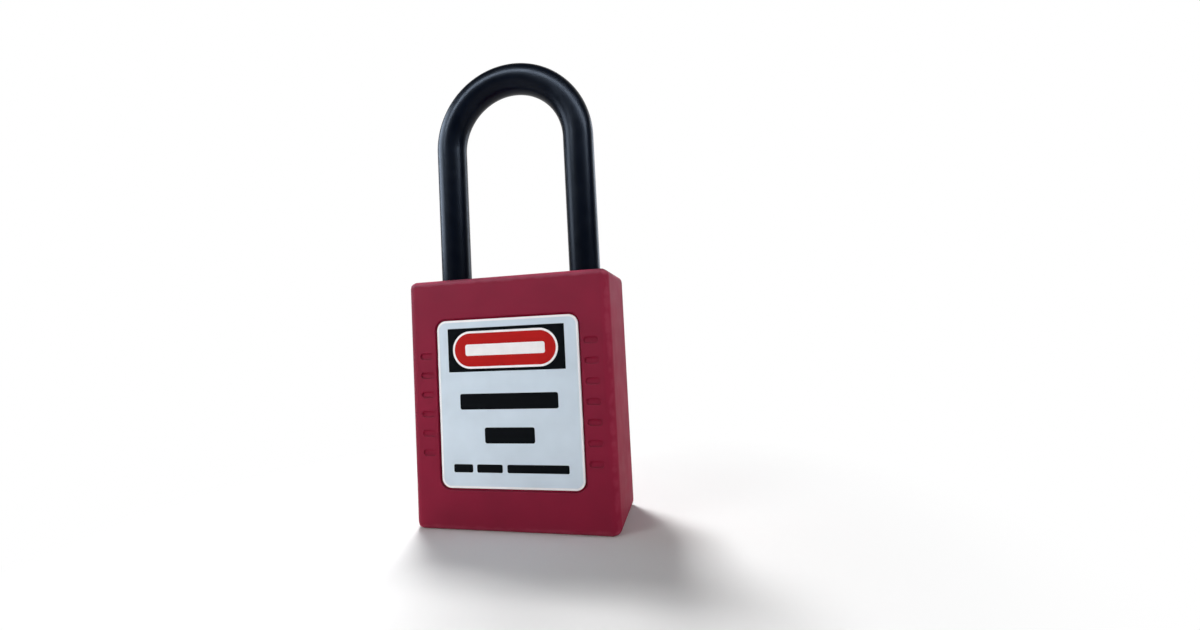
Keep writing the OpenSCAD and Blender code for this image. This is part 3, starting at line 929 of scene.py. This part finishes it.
class PADLOCK_OT_shackle(bpy.types.Operator):
    """Make the bent bar with its neck, collar, toe and ball pockets"""

    bl_idname = "padlock.shackle"
    bl_label = "Shackle"

    def execute(self, context):
        s = context.scene.padlock_shackle
        finish = moulded_nylon(s)
        points = shackle_points(s)
        curve = bpy.data.curves.new("shackle_path", "CURVE")
        curve.dimensions = "3D"
        spline = curve.splines.new("POLY")
        spline.points.add(len(points) - 1)
        for point, (x, z, share) in zip(spline.points, points):
            point.co = (x, 0, z, 1)
            point.radius = share
        bar = grow("shackle_bar", bar_tree(), {
            "Bar radius": s.bar_radius, "Sides": s.sides, "Finish": finish,
        }, new_piece("shackle_bar", curve))
        pockets = []
        for side in (-1, 1):
            ball = (BALL_LOW + BALL_HIGH) / 2
            start = Vector((side * ball.x, 0, ball.z))
            # The pocket follows the ball's way through the leg as the shackle rises
            way = Vector((-side * BALL_TRAVEL, 0, -SHACKLE_RISE))
            pockets += [
                rod("pocket", start, start + way, BALL_BORE),
                sphere("pocket_end", start, BALL_BORE),
            ]
        cut(bar, pockets)
        finish_with(bar, finish)
        finish_shading(bar)
        dress(bar, "shackle", "shackle_nylon", "shackle")
        return {"FINISHED"}


class PADLOCK_OT_springs(bpy.types.Operator):
    """Wind the shackle spring and the six pin springs"""

    bl_idname = "padlock.springs"
    bl_label = "Springs"

    def execute(self, context):
        s = context.scene.padlock_springs
        finish = worked_metal("spring_wire", s)
        tree = coil_tree()
        wind(
            "shackle_coil", "shackle_spring", tree, finish, s.shackle_wire, s.shackle_turns,
            s.steps, height=COIL_HIGH.z - COIL_LOW.z, seat=(-LEG_X, 0, COIL_LOW.z),
        )
        for i in range(1, PIN_COUNT + 1):
            low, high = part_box(f"pin_spring_{i}")
            middle = (low.z + high.z) / 2
            coil = wind(
                f"pin_coil_{i}", f"pin_spring_{i}", tree, finish, s.pin_wire, s.pin_turns,
                s.steps, height=high.x - low.x, seat=(low.x, 0, middle), tilt=math.radians(90),
            )
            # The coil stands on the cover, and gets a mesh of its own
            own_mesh(coil)
        return {"FINISHED"}


def eased_copy(node, name, width, material):
    """A clean copy of a plain node, with its cut edges rounded."""
    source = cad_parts[node].data
    bm = bmesh.new()
    verts = [bm.verts.new(v.co) for v in source.vertices]
    for face in source.polygons:
        bm.faces.new([verts[i] for i in face.vertices])
    bmesh.ops.remove_doubles(bm, verts=bm.verts, dist=TOUCHING)
    bmesh.ops.dissolve_limit(bm, angle_limit=ALMOST_FLAT, verts=bm.verts, edges=bm.edges)
    piece = from_bmesh(name, bm)
    finish_with(piece, material)
    ease_edges(piece, width, lambda point: True)
    return piece


class PADLOCK_OT_cylinder(bpy.types.Operator):
    """Finish the housing, the plug with its clip, the cam, the cover and the screw"""

    bl_idname = "padlock.cylinder"
    bl_label = "Cylinder"

    def execute(self, context):
        s = context.scene.padlock_metals
        brass = worked_metal("turned_brass", s)
        zinc = worked_metal("zinc_plated_steel", s)
        nickel = worked_metal("nickel_plated_casting", s)
        jobs = (
            ("cylinder_housing", "housing_casting", "lock_body", "nickel_plate", nickel),
            ("plug", "plug_turning", "plug", "brass", brass),
            ("plug_clip", "clip_stamping", "plug", "spring_steel", zinc),
            ("locking_cam", "cam_turning", "plug", "steel", zinc),
            ("chamber_cover", "cover_strip", "lock_body", "brass", brass),
            ("housing_screw", "socket_screw", "lock_body", "steel", zinc),
        )
        for node, name, body, slot, material in jobs:
            dress(eased_copy(node, name, s.ease, material), body, slot, node)
        return {"FINISHED"}


class PADLOCK_OT_pins(bpy.types.Operator):
    """Make the two locking balls, and give the pins and the stop pin their metals"""

    bl_idname = "padlock.pins"
    bl_label = "Pins and balls"

    def execute(self, context):
        s = context.scene.padlock_metals
        steel = worked_metal("ground_steel", s)
        for side in ("left", "right"):
            low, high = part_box(f"ball_{side}")
            ball = sphere(f"locking_ball_{side}", (low + high) / 2, (high.x - low.x) / 2)
            finish_with(ball, steel)
            finish_shading(ball)
            dress(ball, f"ball_{side}", "bearing_steel", f"ball_{side}")
        finish_with(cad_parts["stop_pin"], steel)
        for kind, metal in (("key", "pin_brass"), ("driver", "pin_nickel_silver")):
            material = worked_metal(metal, s)
            for i in range(1, PIN_COUNT + 1):
                finish_with(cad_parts[f"{kind}_pin_{i}"], material)
        return {"FINISHED"}


def light_paths(tree):
    """1 for a ray from the eye, straight or through glass, and 1 for a ray that mirrors."""
    path = add_node(tree, "ShaderNodeLightPath", out=None)
    seen = add_node(
        tree, "ShaderNodeMath",
        {0: path.outputs["Is Camera Ray"], 1: path.outputs["Is Transmission Ray"]},
        operation="MAXIMUM",
    )
    return seen, path.outputs["Is Glossy Ray"]


def white_world(scene, ambient):
    """A white backdrop, which the eye and reflections see behind the object, and a dim room."""
    world = bpy.data.worlds.new("studio_room")
    tree = empty_tree(world)
    seen, glossy = light_paths(tree)
    way = add_node(tree, "ShaderNodeTexCoord", out="Generated")
    y = add_node(tree, "ShaderNodeSeparateXYZ", {0: way}, out=1)
    # A reflection finds a room of 0.04 in front, and the white backdrop behind
    behind = add_node(
        tree, "ShaderNodeMapRange", {0: y, 1: 0.35, 2: 0.8, 3: 0.04, 4: 1.0},
        interpolation_type="SMOOTHSTEP",
    )
    lit = add_node(tree, "ShaderNodeMix", {0: glossy, 2: ambient, 3: behind}, data_type="FLOAT")
    strength = add_node(tree, "ShaderNodeMix", {0: seen, 2: lit, 3: 1.0}, data_type="FLOAT")
    sky = add_node(tree, "ShaderNodeBackground", {"Color": WHITE, "Strength": strength})
    add_node(tree, "ShaderNodeOutputWorld", {0: sky}, out=None)
    scene.world = world


def floor_paper(rgb):
    """Matt paper that takes the object's shadow, and goes over into plain white away from it."""
    paper_end, white_start = 40 * MM, 90 * MM
    dim_end, bright_start = -20 * MM, 150 * MM
    made = bpy.data.materials.new("floor_paper")
    tree = empty_tree(made)
    place = add_node(tree, "ShaderNodeTexCoord", out="Object")
    away = add_node(tree, "ShaderNodeVectorMath", {0: place}, out="Value", operation="LENGTH")
    far = add_node(
        tree, "ShaderNodeMapRange", {0: away, 1: paper_end, 2: white_start, 3: 0, 4: 1},
        interpolation_type="SMOOTHSTEP",
    )
    fibre = mottle(tree, place, 1.5 * MM, 0.985, 1.0)
    tone = tinted(tree, fibre, shaded(rgb, 0.97), rgb)
    paper = add_node(tree, "ShaderNodeBsdfDiffuse", {"Color": tone})
    # The paper glows a little to the eye and in reflections, so that its shadow isn't too deep
    seen, glossy = light_paths(tree)
    shown = add_node(tree, "ShaderNodeMath", {0: seen, 1: glossy}, operation="MAXIMUM")
    lift = add_node(tree, "ShaderNodeMath", {0: shown, 1: 0.02}, operation="MULTIPLY")
    glow = add_node(tree, "ShaderNodeEmission", {"Color": WHITE, "Strength": lift})
    near = add_node(tree, "ShaderNodeAddShader", {0: paper, 1: glow})
    # Reflections find the white sweep behind the object, and the dim room in front of it
    y = add_node(tree, "ShaderNodeSeparateXYZ", {0: place}, out=1)
    behind = add_node(tree, "ShaderNodeMapRange", {0: y, 1: dim_end, 2: bright_start, 3: 0, 4: 1})
    mirrored = add_node(tree, "ShaderNodeMath", {0: glossy, 1: behind}, operation="MULTIPLY")
    white = add_node(tree, "ShaderNodeMath", {0: seen, 1: mirrored}, operation="MAXIMUM")
    spread = add_node(tree, "ShaderNodeMath", {0: far, 1: white}, operation="MULTIPLY")
    plain = add_node(tree, "ShaderNodeEmission", {"Color": WHITE, "Strength": 1.0})
    both = add_node(tree, "ShaderNodeMixShader", {0: spread, 1: near, 2: plain})
    add_node(tree, "ShaderNodeOutputMaterial", {"Surface": both}, out=None)
    return made


def softbox(name, start, end, width, aim, watts, tint=(1, 1, 1), rays="diffuse"):
    """A lamp between the middles of its short sides, which lights or else is only mirrored."""
    start, end, aim = Vector(start), Vector(end), Vector(aim)
    middle = (start + end) / 2
    lamp = bpy.data.lights.new(name, "AREA")
    lamp.shape = "RECTANGLE"
    lamp.size = (end - start).length
    lamp.size_y = width
    lamp.energy = watts
    lamp.color = tint
    made = new_piece(name, lamp)
    along = (end - start).normalized()
    up = (middle - aim).cross(along).normalized()
    turn = Matrix((along, up, along.cross(up))).transposed().to_4x4()
    made.matrix_world = Matrix.Translation(middle) @ turn
    made.visible_camera = False
    made.visible_diffuse = rays == "diffuse"
    made.visible_glossy = rays == "glossy"


def low_camera():
    """A camera that stands low and close, a little to the right, and is tipped slightly."""
    place = Vector((34.5 * MM, -98.4 * MM, 35.1 * MM))
    yaw, pitch, roll = (math.radians(angle) for angle in (13.9, 2.7, -2.8))
    flat = math.cos(pitch)
    ahead = Vector((-math.sin(yaw) * flat, math.cos(yaw) * flat, math.sin(pitch)))
    right = Vector((math.cos(yaw), math.sin(yaw), 0))
    up = right.cross(ahead)
    across = math.cos(roll) * right + math.sin(roll) * up
    above = -math.sin(roll) * right + math.cos(roll) * up
    turn = Matrix((across, above, -ahead)).transposed().to_4x4()
    view = bpy.data.cameras.new("camera")
    view.sensor_width = 36
    view.lens = 15.6
    view.shift_x = 0.025
    view.shift_y = -0.0042
    view.clip_start = 5 * MM
    camera = new_piece("camera", view)
    camera.matrix_world = Matrix.Translation(place) @ turn
    return camera


class PADLOCK_OT_studio(bpy.types.Operator):
    """Make the floor, the backdrop, the lamps and the camera"""

    bl_idname = "padlock.studio"
    bl_label = "Studio"

    def execute(self, context):
        s = context.scene.padlock_studio
        bm = bmesh.new()
        bmesh.ops.create_circle(bm, cap_ends=True, segments=64, radius=s.floor_size)
        floor = from_bmesh("floor", bm)
        floor.data.materials.append(floor_paper(s.floor))
        white_world(context.scene, s.ambient)
        # Each lamp and card: the middles of its short sides, its width and its power.
        # The lamps light the surfaces, and the cards are seen only in reflections
        lamps = (
            ("top_lamp", (-0.125, 0.12, 0.37), (-0.045, 0.12, 0.37), 0.08, s.top),
            ("front_lamp", (-0.21, -0.16, 0.1), (-0.12, -0.25, 0.1), 0.12, s.front),
            ("side_lamp", (0.32, -0.15, 0.07), (0.32, 0.05, 0.07), 0.1, s.side),
        )
        corner = (-0.008, -0.225, 0.348)
        cards = (
            ("bow_left_card", (-0.234, -0.218, 0.222), corner, 0.06, s.bow_left),
            ("bow_right_card", corner, (0.325, -0.063, 0.194), 0.06, s.bow_right),
            ("left_card", (-0.27, 0.07, 0.18), (-0.27, -0.16, 0.18), 0.18, s.left),
            ("rim_card", (0.17, 0.34, 0.17), (0.23, 0.3, 0.17), 0.2, s.rim),
        )
        body, bow = (0, 0, 0.03), (0, 0, 0.08)
        for name, start, end, width, watts in lamps:
            softbox(name, start, end, width, body, watts)
        for name, start, end, width, watts in cards:
            softbox(name, start, end, width, bow, watts, s.cool, "glossy")
        context.scene.camera = low_camera()
        context.scene.view_settings.view_transform = "Standard"
        return {"FINISHED"}


OPERATORS = (
    PADLOCK_OT_casing, PADLOCK_OT_label, PADLOCK_OT_shackle, PADLOCK_OT_springs,
    PADLOCK_OT_cylinder, PADLOCK_OT_pins, PADLOCK_OT_studio,
)
SETTINGS = {
    "padlock_casing": PadlockCasing, "padlock_label": PadlockLabel,
    "padlock_shackle": PadlockShackle, "padlock_springs": PadlockSprings,
    "padlock_metals": PadlockMetals, "padlock_studio": PadlockStudio,
}


class PADLOCK_PT_panel(bpy.types.Panel):
    """Lists the padlock's pieces and their sizes and colours"""

    bl_idname = "PADLOCK_PT_panel"
    bl_label = "Lockout padlock"
    bl_space_type = "VIEW_3D"
    bl_region_type = "UI"
    bl_category = "Padlock"

    def draw(self, context):
        for name, group in SETTINGS.items():
            box = self.layout.box()
            for field in group.__annotations__:
                box.prop(getattr(context.scene, name), field)
        for operator in OPERATORS:
            self.layout.operator(operator.bl_idname)


def register():
    for made in (*SETTINGS.values(), *OPERATORS, PADLOCK_PT_panel):
        bpy.utils.register_class(made)
    for name, group in SETTINGS.items():
        setattr(bpy.types.Scene, name, bpy.props.PointerProperty(type=group))


def unregister():
    for name in SETTINGS:
        delattr(bpy.types.Scene, name)
    for made in (PADLOCK_PT_panel, *OPERATORS, *SETTINGS.values()):
        bpy.utils.unregister_class(made)


def main():
    register()
    bpy.ops.padlock.casing()
    bpy.ops.padlock.label()
    bpy.ops.padlock.shackle()
    bpy.ops.padlock.springs()
    bpy.ops.padlock.cylinder()
    bpy.ops.padlock.pins()
    bpy.ops.padlock.studio()


if __name__ == "__main__":
    main()
